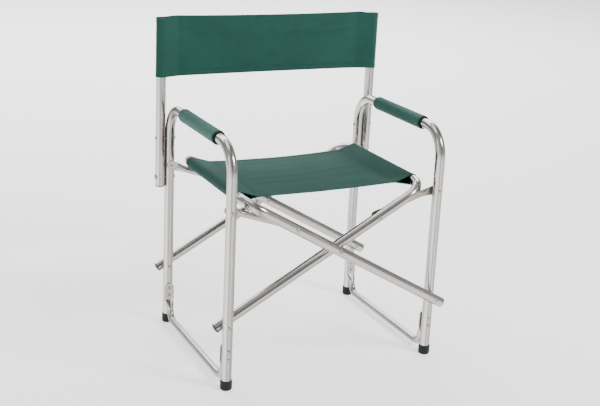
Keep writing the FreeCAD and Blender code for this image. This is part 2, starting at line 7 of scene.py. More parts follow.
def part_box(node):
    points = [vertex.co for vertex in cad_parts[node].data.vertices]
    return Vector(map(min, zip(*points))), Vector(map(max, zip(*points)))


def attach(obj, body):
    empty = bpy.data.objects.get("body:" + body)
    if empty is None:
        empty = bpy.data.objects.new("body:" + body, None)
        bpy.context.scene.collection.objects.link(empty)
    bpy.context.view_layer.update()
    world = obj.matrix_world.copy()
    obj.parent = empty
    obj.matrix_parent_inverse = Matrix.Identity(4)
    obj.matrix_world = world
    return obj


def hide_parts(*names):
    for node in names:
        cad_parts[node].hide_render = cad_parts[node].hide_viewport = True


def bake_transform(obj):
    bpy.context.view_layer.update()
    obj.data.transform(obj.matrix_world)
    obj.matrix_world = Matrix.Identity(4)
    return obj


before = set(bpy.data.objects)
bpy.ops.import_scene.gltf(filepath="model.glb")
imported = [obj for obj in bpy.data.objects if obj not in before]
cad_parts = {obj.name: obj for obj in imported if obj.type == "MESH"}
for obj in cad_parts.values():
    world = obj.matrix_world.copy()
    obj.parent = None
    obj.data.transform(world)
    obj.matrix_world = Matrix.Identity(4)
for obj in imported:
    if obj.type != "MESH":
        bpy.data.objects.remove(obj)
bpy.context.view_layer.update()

MM = 0.001
SIDES = ("left", "right")


# ---------------------------------------------------------------- positions from the frame

def middle(node):
    lo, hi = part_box(node)
    return (lo + hi) / 2


def size(node):
    lo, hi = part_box(node)
    return hi - lo


TUBE_R = size("back_post_left").x / 2
RAIL_Z = middle("seat_sling_left").z


# ---------------------------------------------------------------- material helpers

def new_material(name):
    mat = bpy.data.materials.new(name)
    mat.use_nodes = True
    nodes = mat.node_tree.nodes
    nodes.clear()
    out = nodes.new("ShaderNodeOutputMaterial")
    shader = nodes.new("ShaderNodeBsdfPrincipled")
    mat.node_tree.links.new(shader.outputs["BSDF"], out.inputs["Surface"])
    return mat, nodes, mat.node_tree.links, shader


def texture(nodes, links, kind, coords, scale, **settings):
    node = nodes.new(kind)
    links.new(coords, node.inputs["Vector"])
    if "Scale" in node.inputs:
        node.inputs["Scale"].default_value = scale
    for key, val in settings.items():
        if key in node.inputs:
            node.inputs[key].default_value = val
        else:
            setattr(node, key, val)
    return node


def stretch(nodes, links, coords, scale):
    node = nodes.new("ShaderNodeMapping")
    links.new(coords, node.inputs["Vector"])
    node.inputs["Scale"].default_value = scale
    return node.outputs["Vector"]


def ramp(nodes, links, source, stops):
    node = nodes.new("ShaderNodeValToRGB")
    links.new(source, node.inputs["Fac"])
    bar = node.color_ramp
    while len(bar.elements) < len(stops):
        bar.elements.new(0.5)
    for element, (place, colour) in zip(bar.elements, stops):
        element.position = place
        element.color = (*colour, 1)
    return node.outputs["Color"]


def spread(nodes, links, source, low, high, from_low=0.0, from_high=1.0):
    node = nodes.new("ShaderNodeMapRange")
    links.new(source, node.inputs["Value"])
    node.inputs["From Min"].default_value = from_low
    node.inputs["From Max"].default_value = from_high
    node.inputs["To Min"].default_value = low
    node.inputs["To Max"].default_value = high
    return node.outputs["Result"]


def tint(colour, factor):
    return tuple(min(1, part * factor) for part in colour)


def maths(nodes, links, kind, first, second=0):
    node = nodes.new("ShaderNodeMath")
    node.operation = kind
    for socket, val in zip(node.inputs, (first, second)):
        if isinstance(val, (int, float)):
            socket.default_value = val
        else:
            links.new(val, socket)
    return node.outputs[0]


def bump(nodes, links, shader, height, strength, distance):
    node = nodes.new("ShaderNodeBump")
    links.new(height, node.inputs["Height"])
    node.inputs["Strength"].default_value = strength
    node.inputs["Distance"].default_value = distance
    links.new(node.outputs["Normal"], shader.inputs["Normal"])


def mix_colour(nodes, links, amount, first, second, kind="MIX"):
    node = nodes.new("ShaderNodeMix")
    node.data_type = "RGBA"
    node.blend_type = kind
    for socket, val in ((node.inputs[0], amount), (node.inputs[6], first), (node.inputs[7], second)):
        if isinstance(val, (int, float)):
            socket.default_value = val
        elif isinstance(val, tuple):
            socket.default_value = (*val, 1)
        else:
            links.new(val, socket)
    return node.outputs[2]


# ---------------------------------------------------------------- metal

# painted reflection: the direction and colour stops of the light and dark bands painted into the tube's
# colour
PAINTED_REFLECTION_AIM = (0.86, -0.41, -0.32)
PAINTED_REFLECTION_STOPS = [(0.0, (0.42, 0.40, 0.385)), (0.14, (0.66, 0.645, 0.63)), (0.30, (1.0, 1.0, 1.0)),
           (0.42, (0.90, 0.895, 0.89)), (0.53, (0.36, 0.335, 0.315)), (0.65, (0.70, 0.675, 0.655)),
           (0.80, (0.42, 0.395, 0.375)), (1.0, (0.26, 0.24, 0.23))]


def painted_reflection_bands(nodes, links, cloud):
    """Painted reflection: light and dark bands along a tube, set by which way its side faces, in place of the
    room's reflections.
    """
    facing = nodes.new("ShaderNodeVectorMath")
    facing.operation = "DOT_PRODUCT"
    links.new(nodes.new("ShaderNodeTexCoord").outputs["Normal"], facing.inputs[0])
    facing.inputs[1].default_value = PAINTED_REFLECTION_AIM
    wander = spread(nodes, links, cloud, -0.05, 0.05)
    uneven = maths(nodes, links, "ADD", facing.outputs["Value"], wander)
    return ramp(nodes, links, spread(nodes, links, uneven, 0, 1, -1, 1), PAINTED_REFLECTION_STOPS)


def aluminium(name, base, rough, grain):
    """Drawn tube: bright, with painted reflection bands and fine scratches along the tube and hazy patches.
    """
    mat, nodes, links, shader = new_material(name)
    where = nodes.new("ShaderNodeTexCoord").outputs["Object"]
    drawn = stretch(nodes, links, where, grain)
    haze = texture(nodes, links, "ShaderNodeTexNoise", where, 14, Detail=5, Roughness=0.6).outputs["Fac"]
    cloud = texture(nodes, links, "ShaderNodeTexNoise", drawn, 60, Detail=4).outputs["Fac"]
    scratch = texture(nodes, links, "ShaderNodeTexNoise", drawn, 420, Detail=2).outputs["Fac"]
    tone = ramp(nodes, links, haze, [(0.3, tint(base, 0.93)), (0.7, base)])
    # painted reflection: the tone is multiplied by bands set by which way the surface faces
    tone = mix_colour(nodes, links, 1.0, tone, painted_reflection_bands(nodes, links, cloud), "MULTIPLY")
    scratched = spread(nodes, links, scratch, 0, 0.35, 0.55, 0.8)
    tone = mix_colour(nodes, links, scratched, tone, tint(base, 0.80))
    links.new(tone, shader.inputs["Base Color"])
    shader.inputs["Metallic"].default_value = 1.0
    worn = maths(nodes, links, "ADD",
                 spread(nodes, links, haze, rough - 0.05, rough + 0.08, 0.3, 0.7),
                 spread(nodes, links, cloud, -0.03, 0.05, 0.3, 0.7))
    links.new(worn, shader.inputs["Roughness"])
    bump(nodes, links, shader, scratch, 0.05, 0.0002)
    return mat


# ---------------------------------------------------------------- plastic, rubber and foam

def plastic(name, base, rough, grain_scale, bump_depth):
    """Moulded part: fine grain, a dusty tone and lighter, worn edges."""
    mat, nodes, links, shader = new_material(name)
    where = nodes.new("ShaderNodeTexCoord").outputs["Object"]
    grain = texture(nodes, links, "ShaderNodeTexNoise", where, grain_scale, Detail=3).outputs["Fac"]
    dust = texture(nodes, links, "ShaderNodeTexNoise", where, 45, Detail=6, Roughness=0.7).outputs["Fac"]
    edge = nodes.new("ShaderNodeNewGeometry").outputs["Pointiness"]
    worn = spread(nodes, links, edge, 0, 0.6, 0.52, 0.60)
    tone = ramp(nodes, links, dust, [(0.35, base), (0.75, tint(base, 1.9))])
    tone = mix_colour(nodes, links, worn, tone, tint(base, 2.2))
    links.new(tone, shader.inputs["Base Color"])
    dull = spread(nodes, links, dust, rough - 0.08, rough + 0.14, 0.3, 0.7)
    links.new(dull, shader.inputs["Roughness"])
    shader.inputs["Specular IOR Level"].default_value = 0.22
    bump(nodes, links, shader, grain, 0.25, bump_depth)
    return mat


# ---------------------------------------------------------------- cloth

CLOTH_PLACE = "cloth_place"  # each vertex's place on the flat cloth, in metres, which the weave follows
WEAVE_PITCH = 1.05 * MM
TWILL_PITCH = 5.2 * MM


def wave(nodes, links, source, turn):
    return maths(nodes, links, "SINE", maths(nodes, links, "MULTIPLY", source, turn))


def plain_weave(nodes, links, across, along, pitch):
    """Height of threads that cross over and under each other."""
    turn = 2 * math.pi / pitch
    checks = maths(nodes, links, "MULTIPLY", wave(nodes, links, across, turn / 2),
                   wave(nodes, links, along, turn / 2))
    first = maths(nodes, links, "MULTIPLY", wave(nodes, links, across, turn), 0.25)
    second = maths(nodes, links, "MULTIPLY", wave(nodes, links, along, turn), 0.25)
    threads = maths(nodes, links, "ADD", first, second)
    return maths(nodes, links, "ADD", maths(nodes, links, "MULTIPLY", checks, 0.5), threads)


def woven(name, dark, light, pitch=WEAVE_PITCH, faded=0.35, sheen=0.28):
    """Close plain weave of coated yarn: threads, slubs, a faint diagonal, mottling and faded edges."""
    mat, nodes, links, shader = new_material(name)
    on_cloth = nodes.new("ShaderNodeAttribute")
    on_cloth.attribute_name = CLOTH_PLACE
    where = on_cloth.outputs["Vector"]
    parts = nodes.new("ShaderNodeSeparateXYZ")
    links.new(where, parts.inputs["Vector"])
    across, along = parts.outputs["X"], parts.outputs["Y"]
    weave = plain_weave(nodes, links, across, along, pitch)
    yarn_run = stretch(nodes, links, where, (9, 60, 60))
    slubs = texture(nodes, links, "ShaderNodeTexNoise", yarn_run, 9, Detail=4).outputs["Fac"]
    broad = texture(nodes, links, "ShaderNodeTexNoise", where, 7, Detail=5, Roughness=0.55).outputs["Fac"]
    mottle = texture(nodes, links, "ShaderNodeTexNoise", where, 240, Detail=3).outputs["Fac"]
    twill = wave(nodes, links, maths(nodes, links, "ADD", across, along), 2 * math.pi / TWILL_PITCH)
    uneven = maths(nodes, links, "ADD", maths(nodes, links, "MULTIPLY", twill, 0.10), mottle)
    edge = nodes.new("ShaderNodeNewGeometry").outputs["Pointiness"]
    yarn = ramp(nodes, links, broad, [(0.30, dark), (0.72, light)])
    for amount, colour in (
        (spread(nodes, links, weave, 0.0, 0.30, -0.8, 0.8), tint(dark, 0.55)),
        (spread(nodes, links, slubs, 0, 0.30, 0.50, 0.80), tint(light, 1.35)),
        (spread(nodes, links, uneven, 0, 0.45, 0.38, 0.70), tint(dark, 0.62)),
        (spread(nodes, links, edge, 0, faded, 0.52, 0.62), tint(light, 1.7)),
    ):
        yarn = mix_colour(nodes, links, amount, yarn, colour)
    links.new(yarn, shader.inputs["Base Color"])
    links.new(spread(nodes, links, weave, 0.78, 0.92, -0.8, 0.8), shader.inputs["Roughness"])
    shader.inputs["Sheen Weight"].default_value = sheen
    shader.inputs["Sheen Roughness"].default_value = 0.45
    shader.inputs["Sheen Tint"].default_value = (0.62, 0.86, 0.80, 1)
    shader.inputs["Specular IOR Level"].default_value = 0.20
    height = maths(nodes, links, "ADD", weave, maths(nodes, links, "MULTIPLY", slubs, 0.6))
    bump(nodes, links, shader, height, 0.5, 0.00022)
    return mat


def thread_material(name, colour):
    """Sewing thread, darker where it twists under."""
    mat, nodes, links, shader = new_material(name)
    where = nodes.new("ShaderNodeTexCoord").outputs["Object"]
    twist = texture(nodes, links, "ShaderNodeTexNoise", where, 1800, Detail=2).outputs["Fac"]
    tone = ramp(nodes, links, twist, [(0.3, tint(colour, 0.7)), (0.7, colour)])
    links.new(tone, shader.inputs["Base Color"])
    shader.inputs["Roughness"].default_value = 0.6
    bump(nodes, links, shader, twist, 0.3, 0.0002)
    return mat


# ---------------------------------------------------------------- finishes

ALONG_Y = (1, 0.06, 1)
ALONG_Z = (1, 1, 0.06)
MAT = {
    "tube": aluminium("drawn_aluminium", (0.74, 0.725, 0.705), 0.20, ALONG_Z),
    "thin_tube": aluminium("drawn_aluminium_thin", (0.64, 0.615, 0.59), 0.26, ALONG_Y),
    "rivet": aluminium("rivet_aluminium", (0.62, 0.60, 0.58), 0.30, (1, 1, 1)),
    "rubber": plastic("foot_rubber", (0.006, 0.007, 0.008), 0.55, 900, 0.0002),
    "plug": plastic("plug_plastic", (0.014, 0.016, 0.018), 0.45, 1400, 0.0001),
    "washer": plastic("washer_plastic", (0.45, 0.45, 0.43), 0.4, 1500, 0.0001),
    "foam": plastic("pad_foam", (0.010, 0.011, 0.011), 0.85, 2600, 0.0004),
    "seat": woven("seat_cloth", (0.007, 0.058, 0.043), (0.011, 0.076, 0.057), sheen=0.08),
    "back": woven("back_cloth", (0.009, 0.060, 0.045), (0.015, 0.084, 0.064), faded=0.0),
    "pad": woven("pad_cloth", (0.014, 0.086, 0.064), (0.024, 0.120, 0.092), pitch=1.1 * MM),
    "thread": thread_material("sewing_thread", (0.016, 0.075, 0.058)),
}
FINISH = (("foot_cap", "rubber"), ("plug", "plug"), ("washers", "washer"), ("rivets", "rivet"),
          ("link_", "thin_tube"), ("brace", "thin_tube"), ("", "tube"))
MADE_HERE = ("sling", "pad_core", "pad_cover")  # these nodes are replaced by pieces below


def dress_frame():
    """Every CAD node that stays in view gets the finish of the first word found in its name."""
    for name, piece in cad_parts.items():
        if any(word in name for word in MADE_HERE):
            continue
        key = next(key for word, key in FINISH if word in name)
        piece.data.materials.clear()
        piece.data.materials.append(MAT[key])


dress_frame()


# ---------------------------------------------------------------- mesh helpers

def mesh_object(name, verts, faces, materials, cloth_faces=None, spots=()):
    """A smooth mesh piece. Faces from cloth_faces on are stitches and take the second material."""
    data = bpy.data.meshes.new(name)
    data.from_pydata([tuple(v) for v in verts], [], faces)
    data.validate()
    obj = bpy.data.objects.new(name, data)
    bpy.context.scene.collection.objects.link(obj)
    for mat in materials:
        data.materials.append(mat)
    if spots:
        spots = spots + [(0.0, 0.0, 0.0)] * (len(verts) - len(spots))
        place = data.attributes.new(CLOTH_PLACE, "FLOAT_VECTOR", "POINT")
        place.data.foreach_set("vector", [number for spot in spots for number in spot])
    for face in data.polygons:
        face.use_smooth = True
        if cloth_faces is not None and face.index >= cloth_faces:
            face.material_index = 1
    return obj


def thick_sheet(points, thickness, outward):
    """Closed solid from rows of points, as thick as stated at each point; outward is 1 or -1."""
    rows, cols = len(points), len(points[0])
    upper, lower = [], []
    for i in range(rows):
        for j in range(cols):
            du = points[min(i + 1, rows - 1)][j] - points[max(i - 1, 0)][j]
            dv = points[i][min(j + 1, cols - 1)] - points[i][max(j - 1, 0)]
            half = du.cross(dv).normalized() * (outward * thickness[i][j] / 2)
            upper.append(points[i][j] + half)
            lower.append(points[i][j] - half)
    faces = []

    def at(i, j, side):
        return side * rows * cols + i * cols + j

    def rim(first, second):
        """Joins the upper and lower layers between two neighbours on the edge."""
        faces.append((at(*first, 0), at(*first, 1), at(*second, 1), at(*second, 0)))

    for i in range(rows - 1):
        for j in range(cols - 1):
            faces.append((at(i, j, 0), at(i + 1, j, 0), at(i + 1, j + 1, 0), at(i, j + 1, 0)))
            faces.append((at(i, j, 1), at(i, j + 1, 1), at(i + 1, j + 1, 1), at(i + 1, j, 1)))
    for i in range(rows - 1):
        rim((i, 0), (i + 1, 0))
        rim((i + 1, cols - 1), (i, cols - 1))
    for j in range(cols - 1):
        rim((0, j + 1), (0, j))
        rim((rows - 1, j), (rows - 1, j + 1))
    if outward < 0:
        faces = [tuple(reversed(face)) for face in faces]
    return upper + lower, faces, flat_places(points) * 2


def flat_places(points):
    """Each point's place on the flat cloth: distance along the middle column and along its own row."""
    mid = len(points[0]) // 2
    spots = []
    along = 0.0
    for i, row in enumerate(points):
        if i:
            along += (row[mid] - points[i - 1][mid]).length
        spots += [(along, (point - row[0]).length, 0.0) for point in row]
    return spots


STITCH_LENGTH = 3.0 * MM
STITCH_WIDTH = 0.7 * MM
STITCH_HEIGHT = 0.45 * MM
STITCH_RINGS = ((-0.5, 0.35), (-0.3, 1.0), (0.3, 1.0), (0.5, 0.35))  # share of the length, fatness
STITCH_SIDES = 6


def stitch(verts, faces, centre, along, normal):
    """One stitch: a small rounded bar lying on the cloth."""
    along = along.normalized()
    side = normal.cross(along).normalized()
    start = len(verts)
    for place, fat in STITCH_RINGS:
        for turn in range(STITCH_SIDES):
            angle = 2 * math.pi * turn / STITCH_SIDES
            wide = side * (math.cos(angle) * STITCH_WIDTH / 2 * fat)
            high = normal * (math.sin(angle) * STITCH_HEIGHT * fat)
            verts.append(centre + along * (place * STITCH_LENGTH) + wide + high)
    for ring in range(len(STITCH_RINGS) - 1):
        for turn in range(STITCH_SIDES):
            a = start + ring * STITCH_SIDES + turn
            b = start + ring * STITCH_SIDES + (turn + 1) % STITCH_SIDES
            faces.append((a, b, b + STITCH_SIDES, a + STITCH_SIDES))
    last = start + (len(STITCH_RINGS) - 1) * STITCH_SIDES
    faces.append(tuple(start + turn for turn in reversed(range(STITCH_SIDES))))
    faces.append(tuple(last + turn for turn in range(STITCH_SIDES)))


def smooth_step(x):
    x = max(0.0, min(1.0, x))
    return x * x * (3 - 2 * x)


def bell(x, width):
    return math.exp(-(x / width) ** 2)


def crowded(v, pull):
    """v from -1 to 1, moved so that even steps come closer together towards both ends."""
    return math.sin(v * math.pi / 2 * pull) / math.sin(math.pi / 2 * pull)


# ---------------------------------------------------------------- what both sheets share

CLOTH = 1.15 * MM
LAYER_PITCH = CLOTH * 1.05  # from one layer to the next in a seam
SLEEVE_R = TUBE_R + 0.35 * MM + CLOTH / 2
HEM_LAP = 9 * MM
HEM_STEPS = 4
HEM_EXTRA = 0.75  # share of a layer that a hem adds
LAP_EXTRA = 0.2  # share of a layer that the seam's lap adds
SEAM_ROWS = (1.5 * MM, 6.5 * MM)  # rows of stitches, inward from the sleeve seam
STITCH_PACE = 4.2 * MM
ARC_STEPS = 30


def sleeve_section(seam, drop, line_steps):
    """Hem, lower layer, turn round the tube and upper layer; the tube's axis is (0, 0), inward is +x."""
    reach = math.hypot(seam, drop)
    lean = math.atan2(-drop, seam)
    open_by = math.acos(SLEEVE_R / reach)
    top = lean + open_by
    low = lean - open_by
    under = Vector((seam, -drop - LAYER_PITCH))
    over = Vector((seam, -drop))

    def on_tube(angle):
        return Vector((math.cos(angle) * SLEEVE_R, math.sin(angle) * SLEEVE_R))

    turn = 2 * math.pi - (top - low)
    path = [Vector((seam + HEM_LAP * (1 - n / HEM_STEPS), under.y)) for n in range(HEM_STEPS)]
    path += [under.lerp(on_tube(low), n / line_steps) for n in range(line_steps)]
    path += [on_tube(low - turn * n / ARC_STEPS) for n in range(ARC_STEPS)]
    path += [on_tube(top).lerp(over, n / line_steps) for n in range(line_steps)]
    return path


def cloth_depth(from_edge, hem_width, from_seam):
    """Thickness of the cloth: more in a hem, and beside a seam unless from_seam is None."""
    hem = smooth_step((hem_width - from_edge) / (1.5 * MM))
    lap = 0.0
    if from_seam is not None:
        lap = smooth_step((HEM_LAP - from_seam) / (2 * MM)) * LAP_EXTRA
    return CLOTH * (1 + HEM_EXTRA * hem + lap)


# ---------------------------------------------------------------- seat cloth

SEAT_SEAM = 50 * MM
SEAT_SEAM_DROP = 2.0 * MM
SEAT_SAG = 2.6 * MM
SEAT_HALF = 162 * MM
SEAT_WAIST = 2.2 * MM  # the front and rear edges curve in by this much
SEAT_EDGE_DROP = 1.3 * MM
SEAT_HEM = 13.5 * MM
SEAT_HEM_STITCH = 12.5 * MM
SEAT_STEPS = 84
SEAT_COLUMNS = 74
SEAT_Y = (middle("seat_frame_right").y + middle("seat_frame_left").y) / 2 + 1 * MM
SEAT_SKEW = (middle("seat_frame_right").y - middle("seat_frame_left").y) / 2
RAIL_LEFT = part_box("seat_sling_left")[0].x + size("seat_sling_left").z / 2
RAIL_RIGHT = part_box("seat_sling_right")[1].x - size("seat_sling_left").z / 2
PANEL_LEFT = RAIL_LEFT + SEAT_SEAM
PANEL_RIGHT = RAIL_RIGHT - SEAT_SEAM
PANEL_SPAN = PANEL_RIGHT - PANEL_LEFT
# place from front to rear, width, height in mm and slant of each drawn ridge
PULLS = ((-0.30, 0.10, 0.9, 0.10), (-0.02, 0.08, 1.1, 0.16), (0.22, 0.10, 0.7, 0.12),
         (0.50, 0.12, 0.6, 0.05), (-0.62, 0.11, 0.6, 0.02))


def seat_inside(x):
    """1 in the middle of the panel, 0 at the sleeve seams and beyond."""
    return max(0.0, 1 - (x / PANEL_RIGHT) ** 2)


def seat_half(x):
    return SEAT_HALF - SEAT_WAIST * seat_inside(x)


def seat_y(x, v):
    return SEAT_Y + x / RAIL_RIGHT * SEAT_SKEW + v * seat_half(x)


def seat_sag(x):
    share = (x - PANEL_LEFT) / PANEL_SPAN
    return SEAT_SEAM_DROP + SEAT_SAG * (1 - (2 * share - 1) ** 2)


def seat_relief(x, v):
    """Shallow ridges from rail to rail where the cloth is drawn tight, ripples, and edges that drop."""
    inside = seat_inside(x)
    ridges = sum(height * bell(v - place - slant * x / 0.24, width) for place, width, height, slant in PULLS)
    ripple = noise.noise(Vector((x * 9, v * 5, 1.7))) * 0.8 + noise.noise(Vector((x * 22, v * 13, 4.1))) * 0.3
    drawn = (ridges * 0.8 + ripple) * 0.9 * MM * smooth_step(inside * 1.6)
    return drawn - SEAT_EDGE_DROP * inside * smooth_step((abs(v) - 0.75) / 0.25)


def seat_row(spot, flat):
    """One row of points from front to rear with its thicknesses; flat is True between the seams."""
    row, depth = [], []
    from_seam = min(abs(spot.x - PANEL_LEFT), abs(spot.x - PANEL_RIGHT)) if flat else None
    for j in range(SEAT_COLUMNS + 1):
        v = crowded(2 * j / SEAT_COLUMNS - 1, 0.92)
        z = spot.y + (seat_relief(spot.x, v) if flat else 0.0)
        row.append(Vector((spot.x, seat_y(spot.x, v), z)))
        depth.append(cloth_depth(seat_half(spot.x) * (1 - abs(v)), SEAT_HEM, from_seam))
    return row, depth


def seat_stitch(verts, faces, x, v, lift, along):
    """A stitch on the top of the seat and one below it."""
    z = RAIL_Z - seat_sag(x) + seat_relief(x, v)
    for side in (1, -1):
        stitch(verts, faces, Vector((x, seat_y(x, v), z + side * lift)), along, Vector((0, 0, side)))


def seat_cloth():
    """The whole seat: sleeve, panel and sleeve in one strip, with its stitches."""
    section = sleeve_section(SEAT_SEAM, SEAT_SEAM_DROP, 14)
    panel = [PANEL_LEFT + PANEL_SPAN * n / SEAT_STEPS for n in range(SEAT_STEPS + 1)]
    path = [(Vector((RAIL_LEFT + p.x, RAIL_Z + p.y)), False) for p in section]
    path += [(Vector((x, RAIL_Z - seat_sag(x))), True) for x in panel]
    path += [(Vector((RAIL_RIGHT - p.x, RAIL_Z + p.y)), False) for p in reversed(section)]
    made = [seat_row(spot, flat) for spot, flat in path]
    verts, faces, spots = thick_sheet([row for row, _ in made], [depth for _, depth in made], outward=-1)
    cloth_faces = len(faces)
    seam_count = int(2 * SEAT_HALF / STITCH_PACE)
    seam_lift = CLOTH / 2 + 0.22 * MM
    for place, inward in ((PANEL_LEFT, 1), (PANEL_RIGHT, -1)):
        for offset in SEAM_ROWS:
            for n in range(seam_count):
                v = -1 + 2 * (n + 0.5) / seam_count
                seat_stitch(verts, faces, place + inward * offset, v, seam_lift, Vector((0, 1, 0)))
    hem_count = int(PANEL_SPAN / STITCH_PACE)
    for end in (-1, 1):
        for n in range(hem_count):
            x = PANEL_LEFT + PANEL_SPAN * (n + 0.5) / hem_count
            v = end * (1 - SEAT_HEM_STITCH / seat_half(x))
            seat_stitch(verts, faces, x, v, CLOTH * 0.8 + 0.15 * MM, Vector((1, 0.05, 0)))
    return mesh_object("seat_cloth", verts, faces, [MAT["seat"], MAT["thread"]], cloth_faces, spots)


seat = seat_cloth()
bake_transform(seat)
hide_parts("seat_sling_left", "seat_sling_right")


# ---------------------------------------------------------------- back cloth
# u runs from the left post to the right one, up from 0 at the lower edge to 1 at the upper one

BACK_SEAM = 48 * MM
BACK_SET = 0.55 * CLOTH  # the panel lies this far behind the line between the posts
BACK_HEM = 12.5 * MM
BACK_HEM_STITCH = 12.0 * MM
BACK_COLUMNS = 56
BACK_STEPS = {"left": 92, "right": 84}
JOIN_LAP = 0.1 * MM  # each half runs this far past the line where they meet
BACK_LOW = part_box("back_sling_left")[0].z
BACK_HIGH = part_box("back_sling_left")[1].z
JOIN_X = (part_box("back_sling_left")[1].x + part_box("back_sling_right")[0].x) / 2
POST_LEFT = middle("back_post_left").xy.to_3d()
BACK_ALONG = middle("back_post_right").xy.to_3d() - POST_LEFT
BACK_WIDTH = BACK_ALONG.length
BACK_ALONG.normalize()
BACK_FRONT = Vector((BACK_ALONG.y, -BACK_ALONG.x, 0))


def back_relief(u, up):
    """How far the back stands forward of its plane: a sagging crease, waves, and puckers at the seams."""
    share = u / BACK_WIDTH
    from_left = u - BACK_SEAM
    from_right = BACK_WIDTH - BACK_SEAM - u
    inside = smooth_step(from_left / (30 * MM)) * smooth_step(from_right / (30 * MM))
    near_middle = 1 - (2 * share - 1) ** 2
    crease = 0.78 - 0.055 * near_middle + 0.02 * (share - 0.5)
    fold = 3.0 * bell(up - crease - 0.02, 0.036) - 2.6 * bell(up - crease + 0.045, 0.045)
    fold -= 0.5 * bell(up - 0.22 - 0.05 * share, 0.10)
    waves = noise.noise(Vector((u * 10, up * 2.2, 3.3)))
    waves += noise.noise(Vector((u * 26, up * 5, 8.1))) * 0.35
    pucker = 0.25 * math.sin(up * 31 + 4 * noise.noise(Vector((up * 3, share, 0))))
    pucker *= bell(from_left, 0.022) + bell(from_right, 0.022)
    pucker *= smooth_step(from_left / (4 * MM)) * smooth_step(from_right / (4 * MM))
    return ((fold * near_middle ** 0.4 + waves) * inside + pucker) * MM


def back_edges(u):
    """Heights of the lower and upper edges: the upper one rises to the seams and drops round the posts."""
    share = 2 * u / BACK_WIDTH - 1
    low = BACK_LOW - 0.6 * MM + 1.2 * MM * (1 - share ** 2)
    high = BACK_HIGH + 0.2 * MM + 3.6 * MM * abs(share) ** 2.2
    high -= 5.6 * MM * smooth_step((BACK_SEAM - min(u, BACK_WIDTH - u)) / BACK_SEAM)
    return low, high


def back_point(u, forward, z):
    return POST_LEFT + BACK_ALONG * u + BACK_FRONT * forward + Vector((0, 0, z))


def back_row(u, forward, flat):
    """One upright row of points with its thicknesses; flat is True between the seams."""
    low, high = back_edges(u)
    from_seam = min(abs(u - BACK_SEAM), abs(BACK_WIDTH - BACK_SEAM - u)) if flat else None
    row, depth = [], []
    for j in range(BACK_COLUMNS + 1):
        up = 0.5 + 0.5 * crowded(2 * j / BACK_COLUMNS - 1, 0.93)
        z = low + (high - low) * up
        if flat:
            off = back_relief(u, up) - BACK_SET
        else:
            off = forward + 0.25 * MM * noise.noise(Vector((u * 30, z * 22, forward * 30)))
        row.append(back_point(u, off, z))
        depth.append(cloth_depth(min(z - low, high - z), BACK_HEM, from_seam))
    return row, depth


def back_stitch(verts, faces, u, inset, lift, along):
    """A stitch on the front of the back and one behind it, inset above the lower edge."""
    low, high = back_edges(u)
    base = back_point(u, back_relief(u, inset / (high - low)) - BACK_SET, low + inset)
    for face in (1, -1):
        stitch(verts, faces, base + BACK_FRONT * (lift * face), along, BACK_FRONT * face)


def keep_cut_plain(half, cut):
    """The cut end is shaded flat, so that the cloth's shading runs on across the join."""
    for face in half.data.polygons:
        if all(v in cut for v in face.vertices):
            face.use_smooth = False
    for edge in half.data.edges:
        if all(v in cut for v in edge.vertices):
            edge.use_edge_sharp = True


def back_half(side):
    """One half of the back, from its hem behind the post to the middle, with its stitches."""
    inward = 1 if side == "left" else -1
    join = (JOIN_X - POST_LEFT.x) / BACK_ALONG.x + inward * JOIN_LAP
    seam = BACK_SEAM if side == "left" else BACK_WIDTH - BACK_SEAM
    post = 0.0 if side == "left" else BACK_WIDTH
    steps = BACK_STEPS[side]
    made = [back_row(post + inward * p.x, p.y, False) for p in sleeve_section(BACK_SEAM, BACK_SET, 15)]
    made += [back_row(seam + (join - seam) * n / steps, 0.0, True) for n in range(steps + 1)]
    verts, faces, spots = thick_sheet([row for row, _ in made], [depth for _, depth in made], -inward)
    cut = set(range(len(spots) // 2 - BACK_COLUMNS - 1, len(spots) // 2))
    cut |= set(range(len(spots) - BACK_COLUMNS - 1, len(spots)))
    cloth_faces = len(faces)
    for offset in SEAM_ROWS:
        u = seam + inward * offset
        low, high = back_edges(u)
        for k in range(int((high - low) / STITCH_PACE)):
            inset = (k + 0.5) * STITCH_PACE
            back_stitch(verts, faces, u, inset, CLOTH * 0.6 + 0.12 * MM, Vector((0, 0, 1)))
    first, last = sorted((seam, join))
    for k in range(int((last - first) / STITCH_PACE)):
        u = first + (k + 0.5) * STITCH_PACE
        low, high = back_edges(u)
        for inset in (BACK_HEM_STITCH, high - low - BACK_HEM_STITCH):
            back_stitch(verts, faces, u, inset, CLOTH * 0.85 + 0.1 * MM, BACK_ALONG)
    materials = [MAT["back"], MAT["thread"]]
    half = mesh_object("back_cloth_" + side, verts, faces, materials, cloth_faces, spots)
    keep_cut_plain(half, cut)
    return half


for side in SIDES:
    half = back_half(side)
    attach(half, "back_" + side)
    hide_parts("back_sling_" + side)


# ---------------------------------------------------------------- arm pads

FOAM_TURNS = 72
COVER_TURNS = 96
COVER_SEAM = 1.42 * math.pi  # angle of the cover's lengthwise seam, on the underside
COVER_PACE = 4.0 * MM
END_STITCHES = 27
END_STITCH_INSET = 5.6 * MM


def wall_profile(inner, outer, start, end, rim, steps, rim_steps):
    """Loop of (radius, y) round the wall of a tube along Y whose ends are rounded off over rim."""
    mid = (inner + outer) / 2
    half = (outer - inner) / 2
    run = end - start - 2 * rim
    turns = [math.pi * k / (rim_steps + 1) for k in range(1, rim_steps + 1)]
    loop = [(inner, start + rim + run * k / steps) for k in range(steps + 1)]
    loop += [(mid - math.cos(a) * half, end - rim + math.sin(a) * rim) for a in turns]
    loop += [(outer, end - rim - run * k / steps) for k in range(steps + 1)]
    loop += [(mid + math.cos(a) * half, start + rim - math.sin(a) * rim) for a in turns]
    return loop


